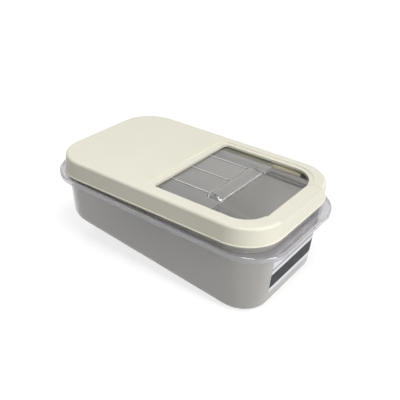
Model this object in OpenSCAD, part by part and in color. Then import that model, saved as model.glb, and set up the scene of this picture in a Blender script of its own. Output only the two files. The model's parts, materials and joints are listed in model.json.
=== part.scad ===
// Low grain bin: a clear tub with a sloping floor, a drop-on lid with a
// window, two slide rails under the lid, and a clear shutter that runs in them.
// Millimetres. The origin is the middle of the bin's footprint, on the surface
// it stands on. +X points to the window end and +Z is up.

/* [Lid] */
// Height of the lid's top above the floor
bin_h = 161; // [145:1:190]
// Length of the lid's flat top
lid_l = 417.6; // [390:1:460]
// Width of the lid's flat top
lid_w = 250; // [230:1:290]
// Corner radius of the lid's top in plan
lid_corner_r = 63; // [56:1:72]
// Wall thickness of the lid
lid_t = 2; // [1.6:0.1:2.6]
// Rounding between the lid's top and its skirt
lid_edge_r = 4.5; // [3:0.5:6]
// Height of the skirt, from the lid's top to its lower edge
skirt_h = 31; // [28:1:36]
// How far the skirt flares out on its way down
skirt_flare = 2; // [1:0.5:3]
// Height of the bead along the skirt's lower edge
bead_h = 2.4; // [1.6:0.2:4]
// How far the bead stands out from the skirt
bead_out = 1; // [0.4:0.2:1.6]

/* [Window] */
// Length of the window, along the lid
window_l = 184.7; // [150:1:200]
// Width of the lid's frame beside the window
side_frame = 25.3; // [22:0.5:34]
// Width of the lid's frame in front of the window
front_frame = 25.8; // [22:0.5:34]
// Corner radius at the window's front
window_front_r = 43; // [25:1:55]
// Corner radius at the window's rear
window_rear_r = 7; // [3:0.5:15]
// Width of the sunk ledge at the window's front and sides
ledge_side = 8; // [7:0.5:10]
// Width of the sunk ledge behind the window
ledge_rear = 13; // [8:0.5:20]
// Depth of the ledge below the lid's top
ledge_drop = 1.7; // [1:0.1:2.5]
// Height of the turned-down lip round the window
lip_h = 4; // [3:0.5:5]
// Width of the finger recess in the front frame
recess_w = 126; // [80:1:140]
// Depth of the finger recess
recess_d = 4; // [3:0.1:4.2]
// Length of the ramp at each end of the recess
recess_ramp = 3; // [1:0.5:6]

/* [Rails] */
// Height of the slot between the window's lip and the rail
slot_h = 4.7; // [4.4:0.1:6]
// Wall thickness of the rails
rail_t = 2; // [1.5:0.1:2.2]
// Height of the rail's inner face
rail_face_h = 5.4; // [4:0.2:8]
// Distance from the rail's front end to the window's front edge
rail_front_gap = 32.4; // [20:1:50]
// Length of rail behind the window
rail_rear_l = 170; // [165:1:175]

/* [Shutter] */
// Length of the shutter
shutter_l = 196; // [190:1:198]
// Thickness of the shutter's plate
shutter_t = 1.8; // [1.4:0.1:2]
// How far the shutter is drawn back from closed
shutter_open = 82.4; // [0:0.2:150]
// Gap between the closed shutter's grip and the front of the window
grip_gap = 0.4; // [0.3:0.1:2]
// Side play between each edge of the shutter and its rail
side_play = 0.5; // [0.3:0.1:1]
// Running gap between the shutter and the rails
slide_gap = 0.05; // [0.02:0.01:0.1]
// Gap between the shutter's side runners and the window's lip
lip_play = 0.4; // [0.3:0.1:0.8]
// Corner radius at the shutter's front
shutter_front_r = 21; // [12:1:26]
// Corner radius at the shutter's rear
shutter_rear_r = 8; // [4:1:12]
// Width of the stiffening rim under the shutter's edge
rim_w = 2; // [1.5:0.1:2.5]
// Height of the plate's top above the rails
shutter_rise = 2.6; // [2.4:0.1:2.8]
// Number of stiffening ribs along the shutter
rib_count = 3; // [1:1:5]
// Spacing of the ribs
rib_pitch = 54; // [20:1:55]
// Width of a rib
rib_w = 1.8; // [1:0.1:3]
// Height of a rib above the plate
rib_h = 1; // [0.6:0.1:1.3]

/* [Grip] */
// Width of the raised grip across the shutter, at its foot
grip_w = 128; // [80:1:140]
// Depth of the grip at its foot
grip_foot = 32; // [30:1:40]
// Height of the grip above the plate
grip_h = 5.8; // [4:0.2:6.5]
// Lean of the grip's rear face
grip_rear_lean = 9.5; // [4:0.5:11]
// Lean of the grip's front face
grip_front_lean = 11; // [6:0.5:12]
// Lean of the grip's two ends
grip_end_lean = 3; // [1:0.5:6]
// Rounding of the grip's corners in plan
grip_r = 7; // [4:0.5:9]
// Rounding along the grip's top edge
grip_edge_r = 3; // [2:0.1:3.2]

/* [Tub] */
// Wall thickness of the tub
tub_t = 2.2; // [1.8:0.1:3]
// Thickness of the tub's floor
floor_t = 2.4; // [2:0.1:4]
// Gap between the tub's rim and the lid's skirt
rim_gap = 1.2; // [0.6:0.1:2]
// Gap between the tub's rim and the rib that rests on it
seat_gap = 0.1; // [0.05:0.05:0.3]
// Draft of the rim above the shelf, in degrees
rim_draft = 1; // [0.5:0.1:2]
// Draft of the walls below the shelf, in degrees
wall_draft = 4.1; // [2:0.1:6]
// Slope of the floor, down to the window end, in degrees
floor_slope = 6.9; // [3:0.1:8]
// Rounding between the floor and the walls
bottom_r = 11; // [6:0.5:16]
// Depth of the flat that the front of the floor stands on
foot_flat = 0.4; // [0.2:0.1:0.8]

/* [Shelf] */
// Least gap between the lid's skirt and the shelf, at the rear
shelf_gap = 1.2; // [1:0.1:4]
// Fall of the shelf towards the window end, in degrees
shelf_fall = 1.5; // [0:0.1:2.5]
// How far the shelf reaches past the lid's top at each side
shelf_side = 5; // [4:0.5:8]
// How far the shelf reaches past the lid's top at each end
shelf_end = 16; // [14:0.5:24]
// Corner radius of the shelf in plan
shelf_corner_r = 68; // [60:1:75]
// Height of the shelf's turned-down lip, with the shelf
shelf_lip_h = 10; // [7:0.2:14]
// Rounding of the shelf's outer edge
shelf_edge_r = 3; // [2.4:0.2:4]

/* [Runners] */
// Distance between the two runners under the floor
runner_pitch = 110; // [80:1:130]
// Thickness of a runner
runner_t = 2.4; // [1.8:0.1:4]
// Width of the foot along a runner's lower edge
runner_foot_w = 5.6; // [4:0.2:8]
// Rounding of a runner's rear end
runner_end_r = 14; // [6:1:20]
// Distance from the runner's rear end to the rear wall's foot
runner_rear_inset = 16; // [14:1:40]
// Distance from the runner's front end to the front wall's foot
runner_front_inset = 48; // [30:1:90]

/* [Under the lid] */
// Height of the rib that rests on the tub's rim
seat_rib_h = 4; // [4:0.1:6]
// Thickness of the seat rib and the locating rib
lid_rib_t = 1.6; // [1.2:0.1:2]
// Height of the locating rib inside the tub's rim
locate_rib_h = 8; // [6:0.5:12]
// Gap between the locating rib and the tub's rim
locate_gap = 0.8; // [0.4:0.1:1.5]

/* [Hidden] */

// Steps in each quarter turn of the tub's and the grip's corners
corner_steps = 12;
// Smoothness of the true arcs
arc_fn = 96;
// Overshoot of a cutting shape past the surface that it cuts
over = 1;

cream = [0.93, 0.92, 0.86];
clear_grey = [0.78, 0.80, 0.82, 0.45];
clear_pale = [0.85, 0.87, 0.88, 0.45];

// Centres of the corner arcs, shared by the lid and the tub
corner_x = lid_l / 2 - lid_corner_r;
corner_y = lid_w / 2 - lid_corner_r;

// Heights
skirt_z = bin_h - skirt_h;
lid_under_z = bin_h - lid_t;
ledge_z = bin_h - ledge_drop;
ledge_under_z = ledge_z - lid_t;
lip_z = ledge_z - lip_h;
recess_z = bin_h - recess_d;
rail_z = lip_z - slot_h;
plate_z = rail_z + shutter_rise;
seat_z = lid_under_z - seat_rib_h;
rim_z = seat_z - seat_gap;
shelf_slope = tan(shelf_fall);
shelf_z = skirt_z - shelf_gap - shelf_slope * (lid_l / 2 + shelf_end);

// Window and shutter places along X
window_front_x = lid_l / 2 - front_frame;
window_rear_x = window_front_x - window_l;
window_w = lid_w - 2 * side_frame;
grip_setback = grip_front_lean * (lip_z - plate_z) / grip_h;
shutter_front_x = window_front_x + grip_setback - grip_gap - shutter_open;

// Rail places across Y, from the middle of the lid
rail_web_y = window_w / 2 + ledge_side;
shutter_w = 2 * (rail_web_y - rail_t - side_play);

// Radii of the tub's wall about the corner centres
rim_r = lid_corner_r - lid_t - rim_gap;
shelf_r = rim_r - (rim_z - shelf_z) * tan(rim_draft);
wall_r = shelf_r - shelf_z * tan(wall_draft);

// Height of the floor plane at X = 0; the front of the floor dips below zero
// by the flat's depth and is cut off there
slope = tan(floor_slope);
floor_z = slope * (corner_x + wall_r - bottom_r) - foot_flat;

function side_x(q) = (q == 0 || q == 3) ? 1 : -1;
function side_y(q) = q < 2 ? 1 : -1;

// Rounded rectangle of length l, width w and corner radius r, at the height z
// over X = 0, falling towards +X
function outline_ring(l, w, r, z, fall = 0) = [
    for (q = [0:3]) for (i = [0:corner_steps])
        let (
            a = 90 * (q + i / corner_steps),
            x = side_x(q) * (l / 2 - r) + r * cos(a)
        )
        [x, side_y(q) * (w / 2 - r) + r * sin(a), z - fall * x]
];

// Ring about the tub's corner centres
function rim_ring(r, z, fall = 0) = outline_ring(2 * (corner_x + r), 2 * (corner_y + r), r, z, fall);

// Ring along the shelf's outline, drawn in by inset, below the shelf's top
function shelf_ring(inset, depth) = outline_ring(
    lid_l + 2 * (shelf_end - inset), lid_w + 2 * (shelf_side - inset),
    shelf_corner_r - inset, shelf_z - depth, shelf_slope);

// Ring where the drafted wall, drawn in by inset, meets a plane that has the
// height z0 over X = 0 and falls towards +X
function wall_ring(z0, fall, inset) = [
    for (q = [0:3]) for (i = [0:corner_steps])
        let (
            a = 90 * (q + i / corner_steps),
            draft = tan(wall_draft),
            foot_r = wall_r - inset,
            centre_x = side_x(q) * corner_x,
            z = (z0 - fall * (centre_x + foot_r * cos(a))) / (1 + fall * draft * cos(a)),
            r = foot_r + draft * z
        )
        [centre_x + r * cos(a), side_y(q) * corner_y + r * sin(a), z]
];

// Closed skin through a list of rings, with flat ends
module ring_loft(rings) {
    count = len(rings[0]);
    last = len(rings) - 1;
    points = [for (ring = rings) for (p = ring) p];
    sides = [
        for (k = [0:last - 1]) for (i = [0:count - 1])
            let (j = (i + 1) % count, a = k * count + i, b = k * count + j)
            each [[a, b, b + count], [a, b + count, a + count]]
    ];
    start = [[for (i = [count - 1:-1:0]) i]];
    end = [[for (i = [0:count - 1]) last * count + i]];
    polyhedron(points, concat(start, sides, end), convexity = 6);
}

// Solid with rounded corners whose edge has the profile in children().
// The profile's x runs outward from the corner centres and its y is height.
module swept_solid(low_z, high_z) {
    for (q = [0:3])
        translate([side_x(q) * corner_x, side_y(q) * corner_y, 0])
            rotate(90 * q)
                rotate_extrude(angle = 90, $fn = arc_fn)
                    children();
    for (turn = [0, 1])
        mirror([0, turn, 0])
            translate([-corner_x, corner_y, 0])
                rotate([90, 0, 90])
                    linear_extrude(2 * corner_x)
                        children();
    for (turn = [0, 1])
        mirror([turn, 0, 0])
            translate([corner_x, corner_y, 0])
                rotate([90, 0, 0])
                    linear_extrude(2 * corner_y)
                        children();
    translate([-corner_x, -corner_y, low_z])
        cube([2 * corner_x, 2 * corner_y, high_z - low_z]);
}

// Ring-shaped wall under the lid, between the radii r0 and r1
module swept_wall(r0, r1, low_z, high_z) {
    difference() {
        swept_solid(low_z, high_z)
            translate([0, low_z]) square([r1, high_z - low_z]);
        swept_solid(low_z - over, high_z + over)
            translate([0, low_z - over]) square([r0, high_z - low_z + 2 * over]);
    }
}

// Outer profile of the lid: top, rounded edge, flared skirt and bead
module lid_outer_profile() {
    bead_r = lid_corner_r + skirt_flare + bead_out;
    polygon(concat(
        [[0, bin_h]],
        [for (a = [90:-10:0])
            [lid_corner_r - lid_edge_r * (1 - cos(a)), bin_h - lid_edge_r * (1 - sin(a))]],
        [[lid_corner_r + skirt_flare, skirt_z + bead_h]],
        [for (a = [60:-30:-60])
            [bead_r - bead_out / 2 + bead_out / 2 * cos(a), skirt_z + bead_h / 2 * (1 + sin(a))]],
        [[lid_corner_r + skirt_flare, skirt_z], [0, skirt_z]]
    ));
}

// Profile of the hollow in the lid
module lid_inner_profile() {
    inner_r = lid_corner_r - lid_t;
    round_r = lid_edge_r - lid_t;
    polygon(concat(
        [[0, lid_under_z]],
        [for (a = [90:-15:0])
            [inner_r - round_r * (1 - cos(a)), lid_under_z - round_r * (1 - sin(a))]],
        [[inner_r + skirt_flare, skirt_z], [inner_r + skirt_flare, skirt_z - over], [0, skirt_z - over]]
    ));
}

// Flat outline from back to front, with its own corner radius at each end
module rounded_outline(back, front, half, rear_r, front_r) {
    polygon([
        [front - front_r, -half], [front, front_r - half], [front, half - front_r], [front - front_r, half],
        [back + rear_r, half], [back, half - rear_r], [back, rear_r - half], [back + rear_r, -half]
    ]);
    for (s = [-1, 1]) {
        translate([front - front_r, s * (half - front_r)]) circle(front_r, $fn = arc_fn);
        translate([back + rear_r, s * (half - rear_r)]) circle(rear_r, $fn = arc_fn);
    }
}

// Outline of the window, grown at its front and sides and at its rear
module window_outline(side = 0, rear = 0) {
    rounded_outline(
        window_rear_x - rear, window_front_x + side, window_w / 2 + side,
        window_rear_r + side, window_front_r + side);
}

// Finger recess across the front frame, with a ramp at each end
module finger_recess() {
    foot = recess_w / 2;
    top = foot + recess_ramp * (recess_d + over) / recess_d;
    translate([window_front_x - over, 0, 0])
        rotate([90, 0, 90])
            linear_extrude(front_frame + 2 * over)
                polygon([[-foot, recess_z], [foot, recess_z], [top, bin_h + over], [-top, bin_h + over]]);
}

module lid() {
    recess_half = recess_w / 2 + recess_ramp + lid_t;
    locate_r = rim_r - tub_t - locate_gap;
    seat_r = rim_r - tub_t / 2 + lid_rib_t / 2;
    color(cream)
    difference() {
        union() {
            difference() {
                swept_solid(skirt_z, bin_h) lid_outer_profile();
                swept_solid(skirt_z - over, lid_under_z) lid_inner_profile();
            }
            // Frame that carries the sunk ledge
            translate([0, 0, ledge_under_z])
                linear_extrude(lid_under_z + lid_t / 2 - ledge_under_z)
                    window_outline(ledge_side + lid_t, ledge_rear + lid_t);
            // Turned-down lip round the window
            translate([0, 0, lip_z])
                linear_extrude(lid_under_z - lip_z)
                    window_outline(lid_t, lid_t);
            // Floor under the finger recess
            translate([window_front_x, -recess_half, lip_z])
                cube([front_frame - lid_t / 2, 2 * recess_half, lid_under_z + lid_t / 2 - lip_z]);
            // Rib that rests on the tub's rim, and the rib that locates it
            swept_wall(seat_r - lid_rib_t, seat_r, seat_z, lid_under_z + lid_t / 2);
            swept_wall(locate_r - lid_rib_t, locate_r, lid_under_z - locate_rib_h, lid_under_z + lid_t / 2);
        }
        translate([0, 0, ledge_z])
            linear_extrude(ledge_drop + over)
                window_outline(ledge_side, ledge_rear);
        translate([0, 0, lip_z - over])
            linear_extrude(ledge_drop + lip_h + 2 * over)
                window_outline();
        finger_recess();
    }
}

// One rail: a web under the lid, a track, and a turned-down face.
// Behind the ledge the web is taller, to reach the lid itself.
module rail(side) {
    front_x = window_front_x - rail_front_gap;
    rear_x = window_rear_x - rail_rear_l;
    ledge_end_x = window_rear_x - ledge_rear - lid_t;
    face_y = window_w / 2;
    color(cream)
    scale([1, side, 1]) {
        translate([rear_x, 0, 0])
            rotate([90, 0, 90])
                linear_extrude(front_x - rear_x)
                    polygon([
                        [face_y, rail_z - rail_face_h], [face_y + rail_t, rail_z - rail_face_h],
                        [face_y + rail_t, rail_z - rail_t], [rail_web_y, rail_z - rail_t],
                        [rail_web_y, ledge_under_z], [rail_web_y - rail_t, ledge_under_z],
                        [rail_web_y - rail_t, rail_z], [face_y, rail_z]
                    ]);
        translate([rear_x, rail_web_y - rail_t, rail_z])
            cube([ledge_end_x - rear_x, rail_t, lid_under_z - rail_z]);
    }
}

// Outline of the shutter, drawn in by inset
module shutter_outline(inset = 0) {
    rounded_outline(
        shutter_front_x - shutter_l + inset, shutter_front_x - inset, shutter_w / 2 - inset,
        shutter_rear_r - inset, shutter_front_r - inset);
}

// Ring of the grip at a height above the plate, drawn in by inset, and by the
// share of a wall's thickness that lies level across each leaning face
function grip_ring(rise, inset, wall = 0) =
    let (
        share = rise / grip_h,
        front = shutter_front_x - grip_front_lean * share - inset - wall * norm([1, grip_front_lean / grip_h]),
        back = shutter_front_x - grip_foot + grip_rear_lean * share + inset
            + wall * norm([1, grip_rear_lean / grip_h]),
        width = grip_w - 2 * (grip_end_lean * share + inset + wall * norm([1, grip_end_lean / grip_h])),
        r = min(max(grip_r - inset, 1), 0.45 * (front - back))
    )
    [for (p = outline_ring(front - back, width, r, plate_z + rise)) p + [(front + back) / 2, 0, 0]];

// Ring moved straight down
function lowered(ring, drop) = [for (p = ring) p - [0, 0, drop]];

// Raised grip: the outside is rounded along its top, the inside is hollow
module grip_outside() {
    foot = grip_ring(0, 0);
    ring_loft(concat(
        [for (a = [90:-22.5:0]) grip_ring(grip_h - grip_edge_r * (1 - sin(a)), grip_edge_r * (1 - cos(a)))],
        [foot, lowered(foot, shutter_t / 2)]
    ));
}

module grip_hollow() {
    foot = grip_ring(0, 0, shutter_t);
    ring_loft([grip_ring(grip_h - shutter_t, 0, shutter_t), foot, lowered(foot, shutter_t + over)]);
}

module shutter() {
    under_z = rail_z + slide_gap;
    back_x = shutter_front_x - shutter_l;
    runner_l = shutter_l - shutter_front_r - shutter_rear_r;
    runner_top_z = lip_z - lip_play;
    rib_l = shutter_l - grip_foot - rim_w;
    color(clear_pale)
    difference() {
        union() {
            translate([0, 0, plate_z - shutter_t])
                linear_extrude(shutter_t) shutter_outline();
            translate([0, 0, under_z])
                linear_extrude(plate_z - under_z)
                    difference() {
                        shutter_outline();
                        shutter_outline(rim_w);
                    }
            // Side runners that fill the slot over the rails
            for (s = [0, 1])
                mirror([0, s, 0])
                    translate([back_x + shutter_rear_r, shutter_w / 2 - rim_w, plate_z - shutter_t])
                        cube([runner_l, rim_w, runner_top_z - plate_z + shutter_t]);
            // Stiffening ribs along the plate
            for (i = [0:rib_count - 1])
                translate([back_x + rim_w, (i - (rib_count - 1) / 2) * rib_pitch - rib_w / 2, plate_z - shutter_t])
                    cube([rib_l, rib_w, shutter_t + rib_h]);
            grip_outside();
        }
        grip_hollow();
    }
}

// Skin of the tub: up the inside, over the rim, out along the shelf, round its
// lip, and down the outside to the floor
module tub_skin() {
    inner_r = bottom_r - tub_t;
    rim_round = 0.7;
    corner_round = 1.5;
    ring_loft(concat(
        [for (a = [90:-18:0])
            wall_ring(floor_z + floor_t + inner_r * (1 - sin(a)), slope, tub_t + inner_r * (1 - cos(a)))],
        [
            wall_ring(shelf_z, shelf_slope, tub_t),
            rim_ring(rim_r - tub_t, rim_z - rim_round),
            rim_ring(rim_r - tub_t + rim_round, rim_z),
            rim_ring(rim_r - rim_round, rim_z),
            rim_ring(rim_r, rim_z - rim_round),
            rim_ring(shelf_r, shelf_z + corner_round, shelf_slope),
            rim_ring(shelf_r + corner_round, shelf_z, shelf_slope)
        ],
        [for (a = [90:-22.5:0])
            shelf_ring(shelf_edge_r * (1 - cos(a)), shelf_edge_r * (1 - sin(a)))],
        [
            shelf_ring(0, shelf_lip_h - rim_round),
            shelf_ring(rim_round, shelf_lip_h),
            shelf_ring(tub_t, shelf_lip_h),
            shelf_ring(tub_t, shelf_edge_r),
            shelf_ring(shelf_edge_r, tub_t),
            wall_ring(shelf_z - tub_t, shelf_slope, 0)
        ],
        [for (a = [0:15:90])
            wall_ring(floor_z + bottom_r * (1 - sin(a)), slope, bottom_r * (1 - cos(a)))]
    ));
}

// Side outline of a runner, rounded at its lower rear corner, with its own
// height at each end
module runner_outline(rear_x, front_x, rear_top, front_top) {
    polygon(concat(
        [for (a = [180:15:270]) [rear_x + runner_end_r * (1 + cos(a)), runner_end_r * (1 + sin(a))]],
        [[front_x, 0], [front_x, front_top], [rear_x, rear_top]]
    ));
}

// Runner under the floor: keeps the bin level at its shallow end. It is a thin
// rib, with a wider foot along its lower edge.
module runner(side) {
    rear_x = -(corner_x + wall_r) + runner_rear_inset;
    front_x = corner_x + wall_r - runner_front_inset;
    bury = floor_t / 2;
    translate([0, side * runner_pitch / 2, 0])
        rotate([90, 0, 0]) {
            translate([0, 0, -runner_t / 2])
                linear_extrude(runner_t)
                    runner_outline(
                        rear_x, front_x,
                        floor_z - slope * rear_x + bury, floor_z - slope * front_x + bury);
            translate([0, 0, -runner_foot_w / 2])
                linear_extrude(runner_foot_w)
                    difference() {
                        runner_outline(rear_x, front_x, runner_end_r, runner_t);
                        translate([runner_t, runner_t])
                            runner_outline(rear_x, front_x + runner_end_r, 2 * runner_end_r, 2 * runner_end_r);
                    }
        }
}

module tub() {
    color(clear_grey)
    difference() {
        union() {
            tub_skin();
            for (side = [-1, 1]) runner(side);
        }
        // Flat under the front of the floor
        translate([-lid_l / 2, -lid_w / 2, -2 * over])
            cube([lid_l, lid_w, 2 * over]);
    }
}

tub();
lid();
rail(-1);  // rail_near
rail(1);  // rail_far
shutter();
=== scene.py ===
import json
import math

import bpy
from mathutils import Matrix, Vector

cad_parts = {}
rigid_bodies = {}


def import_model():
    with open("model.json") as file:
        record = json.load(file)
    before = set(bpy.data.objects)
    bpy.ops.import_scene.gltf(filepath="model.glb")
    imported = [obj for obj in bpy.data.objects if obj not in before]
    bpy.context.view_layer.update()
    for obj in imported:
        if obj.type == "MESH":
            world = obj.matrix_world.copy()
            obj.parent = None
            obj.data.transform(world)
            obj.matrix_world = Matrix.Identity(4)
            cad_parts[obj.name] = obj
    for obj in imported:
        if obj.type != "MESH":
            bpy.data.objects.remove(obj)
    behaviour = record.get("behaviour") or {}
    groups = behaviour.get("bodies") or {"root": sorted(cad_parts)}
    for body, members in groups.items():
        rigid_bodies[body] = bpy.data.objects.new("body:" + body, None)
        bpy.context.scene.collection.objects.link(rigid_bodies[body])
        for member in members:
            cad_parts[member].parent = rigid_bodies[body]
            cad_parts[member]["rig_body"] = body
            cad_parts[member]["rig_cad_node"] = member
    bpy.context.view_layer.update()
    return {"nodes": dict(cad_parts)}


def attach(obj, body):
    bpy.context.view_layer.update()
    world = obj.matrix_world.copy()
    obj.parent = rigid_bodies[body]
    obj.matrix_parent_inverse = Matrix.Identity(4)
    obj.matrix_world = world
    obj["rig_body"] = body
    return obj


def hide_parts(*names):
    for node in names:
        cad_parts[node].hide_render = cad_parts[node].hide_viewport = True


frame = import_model()
nodes = frame["nodes"]

MM = 0.001

# Centre of the tub's corner arcs, and the radius past which only its shelf reaches
CORNER = (145.8 * MM, 62 * MM)
SHELF_R = 60.6 * MM

# On the shutter: the height of its ribs' tops, and the rear of its grip
RIB_TOP = 154.2 * MM
GRIP_REAR = 72 * MM

# Refractive index of polypropylene and of polystyrene
PP_IOR = 1.49
PS_IOR = 1.55

# Light of the world on the object, and what reflections and clear parts see overhead
WORLD_LIGHT = 0.28
SKY_LEVEL = 0.7
# Glow of the open floor near the bin, and of the floor under the bin's rear and front
OPEN_GLOW = 0.78
SHADE_REAR = 0.15
SHADE_FRONT = 0.55
# Half the length and width of that shade, the width of its soft edge, and the distance
# from the middle over which it changes from rear to front
SHADE_HALF = (195 * MM, 105 * MM)
SHADE_EDGE = 30 * MM
SHADE_RUN = 150 * MM

# The label's place on the tub's front wall, where it starts before it is pressed on,
# its thickness and the gap of its adhesive
LABEL_Y = (-62 * MM, 76 * MM)
LABEL_Z = (24 * MM, 114 * MM)
LABEL_START = 212 * MM
LABEL_FILM = 0.12 * MM
LABEL_LIFT = 0.06 * MM


def linear(code):
    """Linear colour of an sRGB hex code, with alpha 1."""
    parts = [int(code[i : i + 2], 16) / 255 for i in (1, 3, 5)]
    return tuple(c / 12.92 if c <= 0.04045 else ((c + 0.055) / 1.055) ** 2.4 for c in parts) + (1.0,)


def add(tree, kind, settings=None, **inputs):
    """Adds a node. settings are its own fields; inputs are constants or the sockets that feed it."""
    node = tree.nodes.new(kind)
    for field, value in (settings or {}).items():
        setattr(node, field, value)
    for name, value in inputs.items():
        key = int(name[1:]) if name[0] == "i" and name[1:].isdigit() else name.replace("_", " ")
        socket = node.inputs[key]
        if isinstance(value, bpy.types.NodeSocket):
            tree.links.new(value, socket)
        else:
            socket.default_value = value
    return node


def new_material(name):
    material = bpy.data.materials.new(name)
    material.use_nodes = True
    tree = material.node_tree
    tree.nodes.clear()
    output = add(tree, "ShaderNodeOutputMaterial")
    shader = add(tree, "ShaderNodeBsdfPrincipled")
    tree.links.new(shader.outputs[0], output.inputs[0])
    place = add(tree, "ShaderNodeTexCoord").outputs["Object"]
    return material, tree, shader, place


def blotches(tree, place, size_mm, low, high):
    """Soft noise with features about size_mm across, brought to the range low to high."""
    noise = add(tree, "ShaderNodeTexNoise", Vector=place, Scale=1 / (size_mm * MM), Detail=3.0)
    return add(
        tree, "ShaderNodeMapRange", i0=noise.outputs["Fac"], i1=0.3, i2=0.7, i3=low, i4=high
    ).outputs[0]


def moulded_cream(name, light, dark, rough):
    """Cream polypropylene, injection moulded in a lightly etched tool: satin, with a
    fine even grain and faint cloudiness where the melt flowed."""
    material, tree, shader, place = new_material(name)
    flow = blotches(tree, place, 70, 0.0, 1.0)
    tint = add(tree, "ShaderNodeMix", {"data_type": "RGBA"}, i0=flow, i6=linear(light), i7=linear(dark))
    tree.links.new(tint.outputs[2], shader.inputs["Base Color"])
    tree.links.new(blotches(tree, place, 30, rough - 0.03, rough + 0.03), shader.inputs["Roughness"])
    # The etched grain is about 0.3 mm; it is drawn at 0.9 mm so that it shows
    grain = add(tree, "ShaderNodeTexNoise", Vector=place, Scale=1 / (0.9 * MM), Detail=2.0)
    bump = add(tree, "ShaderNodeBump", Strength=0.12, Distance=0.05 * MM, Height=grain.outputs["Fac"])
    tree.links.new(bump.outputs[0], shader.inputs["Normal"])
    shader.inputs["IOR"].default_value = PP_IOR
    return material


def clear_plastic(name, tint, haze, ior):
    """Clear plastic, injection moulded. haze is the share that scatters instead of passing."""
    material, tree, shader, place = new_material(name)
    shader.inputs["Base Color"].default_value = linear(tint)
    shader.inputs["IOR"].default_value = ior
    shader.inputs["Transmission Weight"].default_value = 1 - haze
    return material, tree, shader, place


def moulded_polypropylene(name, tint, haze, rough_low, rough_high):
    """Natural polypropylene under a smooth moulded skin, which gives sharp glints."""
    material, tree, shader, place = clear_plastic(name, tint, haze, PP_IOR)
    tree.links.new(blotches(tree, place, 45, rough_low, rough_high), shader.inputs["Roughness"])
    shader.inputs["Coat Weight"].default_value = 1.0
    shader.inputs["Coat Roughness"].default_value = 0.05
    shader.inputs["Coat IOR"].default_value = PP_IOR
    return material


def clear_polystyrene():
    """Clear polystyrene in a polished tool: glassy, with bright and dark edges."""
    material, tree, shader, place = clear_plastic("clear_polystyrene", "#FAFAF9", 0.03, PS_IOR)
    tree.links.new(blotches(tree, place, 45, 0.02, 0.04), shader.inputs["Roughness"])
    return material


def scuffed_polystyrene():
    """The same plastic where the lid rubs it: frosted, so it catches the light."""
    material, tree, shader, place = clear_plastic("scuffed_polystyrene", "#FAFAF7", 0.65, PS_IOR)
    tree.links.new(blotches(tree, place, 20, 0.3, 0.4), shader.inputs["Roughness"])
    return material


def banded_paper():
    """Matt paper label, pale, with plain charcoal and grey bands right across it. It is
    a generic design."""
    material, tree, shader, place = new_material("matt_paper_label")
    height = add(tree, "ShaderNodeSeparateXYZ", Vector=place).outputs[2]
    colour, charcoal, grey = (linear(c) for c in ("#F0EEF3", "#26292D", "#8E9094"))
    # Each band's lower and upper edge, in millimetres above the ground
    for low_mm, high_mm, band in ((32, 58, charcoal), (66, 69, grey), (92, 98, charcoal)):
        middle, half = (low_mm + high_mm) / 2 * MM, (high_mm - low_mm) / 2 * MM
        inside = add(
            tree, "ShaderNodeMath", {"operation": "COMPARE"}, i0=height, i1=middle, i2=half
        ).outputs[0]
        mix = add(tree, "ShaderNodeMix", {"data_type": "RGBA"}, i0=inside, i6=colour, i7=band)
        colour = mix.outputs[2]
    tree.links.new(colour, shader.inputs["Base Color"])
    tree.links.new(blotches(tree, place, 12, 0.45, 0.55), shader.inputs["Roughness"])
    shader.inputs["Specular IOR Level"].default_value = 0.2
    return material


def dress(piece, material):
    piece.data.materials.clear()
    piece.data.materials.append(material)


def dress_some(piece, material, chosen):
    """Gives a second material to the faces for which chosen says yes."""
    piece.data.materials.append(material)
    for face in piece.data.polygons:
        if chosen(face):
            face.material_index = 1


def on_shelf(face):
    """Whether a face of the tub is on its shelf or turned-down lip, outside its walls."""
    past = [max(abs(face.center[axis]) - CORNER[axis], 0.0) for axis in (0, 1)]
    return math.hypot(*past) > SHELF_R


def on_rib_top(face):
    """Whether a face of the shutter is the upper edge of one of its ribs."""
    at_top = abs(face.center.z - RIB_TOP) < 0.35 * MM
    return face.normal.z > 0.5 and at_top and face.center.x < GRIP_REAR


def smooth_copy(node, name, body, edge=0.0):
    """A merged copy of a CAD node with soft shading across its moulded curves. edge is
    the small round that polishing leaves on its sharp edges."""
    bpy.ops.object.select_all(action="DESELECT")
    piece = nodes[node].copy()
    piece.data = nodes[node].data.copy()
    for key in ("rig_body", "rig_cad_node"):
        del piece[key]
    piece.name = piece.data.name = name
    piece.parent = None
    bpy.context.scene.collection.objects.link(piece)
    piece.select_set(True)
    bpy.context.view_layer.objects.active = piece
    bpy.ops.object.mode_set(mode="EDIT")
    bpy.ops.mesh.select_all(action="SELECT")
    bpy.ops.mesh.remove_doubles(threshold=0.001 * MM)
    bpy.ops.object.mode_set(mode="OBJECT")
    if piece.data.has_custom_normals:
        bpy.ops.mesh.customdata_custom_splitnormals_clear()
    if edge:
        bevel = piece.modifiers.new("edge", "BEVEL")
        bevel.width = edge
        bevel.segments = 2
        bevel.limit_method = "ANGLE"
        bevel.angle_limit = math.radians(50)
        bpy.ops.object.modifier_apply(modifier=bevel.name)
    bpy.ops.object.shade_smooth_by_angle(angle=math.radians(28))
    if edge:
        # Keeps the flat faces flat beside their rounded edges
        piece.modifiers.new("flat_faces", "WEIGHTED_NORMAL").keep_sharp = True
        bpy.ops.object.modifier_apply(modifier="flat_faces")
    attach(piece, body)
    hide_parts(node)
    return piece


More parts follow.
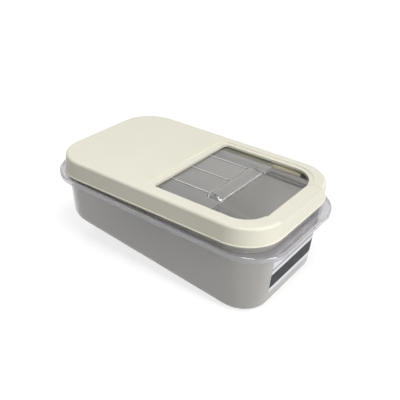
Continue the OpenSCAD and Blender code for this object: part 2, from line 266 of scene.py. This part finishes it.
def make_label():
    """The label on the front wall: a grid pressed against the wall, then thickened."""
    width, height = LABEL_Y[1] - LABEL_Y[0], LABEL_Z[1] - LABEL_Z[0]
    bpy.ops.object.select_all(action="DESELECT")
    bpy.ops.mesh.primitive_grid_add(
        x_subdivisions=40, y_subdivisions=30, size=1,
        location=(LABEL_START, sum(LABEL_Y) / 2, sum(LABEL_Z) / 2), rotation=(0, math.pi / 2, 0),
    )
    label = bpy.context.object
    label.name = label.data.name = "label"
    label.scale = (height, width, 1)
    bpy.ops.object.transform_apply(location=True, rotation=True, scale=True)
    wrap = label.modifiers.new("wrap", "SHRINKWRAP")
    wrap.target = nodes["tub"]
    wrap.wrap_method = "PROJECT"
    wrap.use_project_x = True
    wrap.use_positive_direction = False
    wrap.use_negative_direction = True
    wrap.offset = LABEL_LIFT
    film = label.modifiers.new("film", "SOLIDIFY")
    film.thickness = LABEL_FILM
    film.offset = 1.0
    for modifier in ("wrap", "film"):
        bpy.ops.object.modifier_apply(modifier=modifier)
    bpy.ops.object.shade_smooth_by_angle(angle=math.radians(30))
    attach(label, "tub")
    return label


def make_floor():
    bpy.ops.object.select_all(action="DESELECT")
    bpy.ops.mesh.primitive_plane_add(size=16, location=(0, 0, 0))
    floor = bpy.context.object
    floor.name = "floor"
    material = bpy.data.materials.new("studio_floor")
    material.use_nodes = True
    tree = material.node_tree
    tree.nodes.clear()
    output = add(tree, "ShaderNodeOutputMaterial")
    matte = add(tree, "ShaderNodeBsdfDiffuse", Color=linear("#A0A0A0"))
    # The lamps light the middle of the floor; further out it needs more glow to stay white
    place = add(tree, "ShaderNodeTexCoord").outputs["Object"]
    reach = add(tree, "ShaderNodeVectorMath", {"operation": "LENGTH"}, i0=place).outputs["Value"]
    open_floor = add(
        tree, "ShaderNodeMapRange", i0=reach, i1=0.5, i2=3.0, i3=OPEN_GLOW, i4=1.0
    ).outputs[0]
    # Under the bin the floor's glow is lowered as a painted shade, least so below the open window
    axes = add(tree, "ShaderNodeSeparateXYZ", Vector=place)
    shade = add(
        tree, "ShaderNodeMapRange",
        i0=axes.outputs[0], i1=-SHADE_RUN, i2=SHADE_RUN, i3=SHADE_REAR, i4=SHADE_FRONT,
    ).outputs[0]
    shares = []
    for axis, half in enumerate(SHADE_HALF):
        away = add(tree, "ShaderNodeMath", {"operation": "ABSOLUTE"}, i0=axes.outputs[axis]).outputs[0]
        inside = add(
            tree, "ShaderNodeMapRange", i0=away, i1=half - SHADE_EDGE, i2=half, i3=1.0, i4=0.0
        )
        shares.append(inside.outputs[0])
    under = add(tree, "ShaderNodeMath", {"operation": "MULTIPLY"}, i0=shares[0], i1=shares[1])
    # The painted shade is given here, and counts only for what reflects or passes through the
    # bin. A camera ray beside the bin sees the open floor's glow.
    direct = add(tree, "ShaderNodeLightPath").outputs["Is Camera Ray"]
    through = add(tree, "ShaderNodeMath", {"operation": "SUBTRACT"}, i0=under.outputs[0], i1=direct)
    through.use_clamp = True
    level = add(
        tree, "ShaderNodeMix", {"data_type": "FLOAT"}, i0=through.outputs[0], i2=open_floor, i3=shade
    ).outputs[0]
    glow = add(tree, "ShaderNodeEmission", Color=(1.0, 1.0, 1.0, 1.0), Strength=level)
    both = add(tree, "ShaderNodeAddShader", i0=matte.outputs[0], i1=glow.outputs[0])
    seen = seen_rays(tree)
    mix = add(tree, "ShaderNodeMixShader", i0=seen, i1=matte.outputs[0], i2=both.outputs[0])
    tree.links.new(mix.outputs[0], output.inputs[0])
    floor.data.materials.append(material)


def seen_rays(tree):
    """1 for rays from the camera, and for those that reflect or pass through clear parts."""
    path = add(tree, "ShaderNodeLightPath")
    pair = add(
        tree, "ShaderNodeMath", {"operation": "MAXIMUM"},
        i0=path.outputs["Is Camera Ray"], i1=path.outputs["Is Glossy Ray"],
    )
    seen = add(
        tree, "ShaderNodeMath", {"operation": "MAXIMUM"},
        i0=pair.outputs[0], i1=path.outputs["Is Transmission Ray"],
    )
    # Past a matte surface a ray carries light, and no longer shows the background
    straight = add(
        tree, "ShaderNodeMath", {"operation": "LESS_THAN"}, i0=path.outputs["Diffuse Depth"], i1=0.5
    )
    return add(
        tree, "ShaderNodeMath", {"operation": "MULTIPLY"}, i0=seen.outputs[0], i1=straight.outputs[0]
    ).outputs[0]


def make_world():
    world = bpy.data.worlds.new("studio")
    bpy.context.scene.world = world
    world.use_nodes = True
    tree = world.node_tree
    tree.nodes.clear()
    output = add(tree, "ShaderNodeOutputWorld")
    white = (1.0, 1.0, 1.0, 1.0)
    light = add(tree, "ShaderNodeBackground", Color=white, Strength=WORLD_LIGHT)
    # White at the horizon and greyer overhead, as a studio is above its backdrop
    ray = add(tree, "ShaderNodeTexCoord").outputs["Generated"]
    height = add(tree, "ShaderNodeSeparateXYZ", Vector=ray).outputs[2]
    level = add(tree, "ShaderNodeMapRange", i0=height, i1=0.15, i2=0.5, i3=1.0, i4=SKY_LEVEL).outputs[0]
    shown = add(tree, "ShaderNodeBackground", Color=white, Strength=level)
    mix = add(tree, "ShaderNodeMixShader", i0=seen_rays(tree), i1=light.outputs[0], i2=shown.outputs[0])
    tree.links.new(mix.outputs[0], output.inputs[0])


def soft_box(name, place, target, size, power):
    data = bpy.data.lights.new(name, "AREA")
    data.shape = "SQUARE"
    data.size = size
    data.energy = power
    lamp = bpy.data.objects.new(name, data)
    bpy.context.scene.collection.objects.link(lamp)
    lamp.location = place
    lamp.rotation_euler = (Vector(target) - Vector(place)).to_track_quat("-Z", "Y").to_euler()


def make_camera():
    """The photograph's viewpoint, in metres, with the axes of its picture."""
    right = Vector((0.8056, 0.5916, 0.0342)).normalized()
    back = Vector((0.4973, -0.7064, 0.5036)).normalized()
    up = back.cross(right).normalized()
    right = up.cross(back)
    data = bpy.data.cameras.new("camera")
    data.lens = 56.16
    data.sensor_width = 36
    data.clip_start, data.clip_end = 0.02, 50
    camera = bpy.data.objects.new("camera", data)
    bpy.context.scene.collection.objects.link(camera)
    turn = Matrix((right, up, back)).transposed().to_4x4()
    camera.matrix_world = Matrix.Translation((0.5484, -0.7535, 0.6330)) @ turn
    bpy.context.scene.camera = camera


bpy.context.scene.view_settings.view_transform = "Standard"

tub = smooth_copy("tub", "tub_shell", "tub")
# The tool is etched on the walls and floor, so they are milky and blur what is behind
# them. It is polished on the shelf and its lip, which look clear.
dress(tub, moulded_polypropylene("cloudy_polypropylene", "#D8D6D2", 0.36, 0.32, 0.4))
dress_some(tub, moulded_polypropylene("clear_polypropylene", "#D9D8DB", 0.2, 0.1, 0.16), on_shelf)

shutter = smooth_copy("shutter", "shutter_pane", "shutter", edge=0.3 * MM)
dress(shutter, clear_polystyrene())
dress_some(shutter, scuffed_polystyrene(), on_rib_top)

dress(nodes["lid"], moulded_cream("cream_polypropylene", "#EAE7D7", "#E7E4D3", 0.42))
# The rails are the lid's cream plastic drawn lighter, as painted light that stands in for the light
# they catch under the lid's frame
rail_cream_painted_lit = moulded_cream("cream_polypropylene_painted_lighter", "#F4EFD3", "#F0EBCE", 0.38)
dress(nodes["rail_near"], rail_cream_painted_lit)
dress(nodes["rail_far"], rail_cream_painted_lit)

dress(make_label(), banded_paper())

make_floor()
make_world()
soft_box("key", (0.45, -0.4, 1.75), (0, 0, 0.1), 0.7, 16.5)
soft_box("rim", (-0.9, 0.55, 1.3), (0.05, 0, 0.15), 0.5, 4)
soft_box("fill", (1.4, -0.15, 0.35), (0.1, 0, 0.08), 0.5, 9)
make_camera()
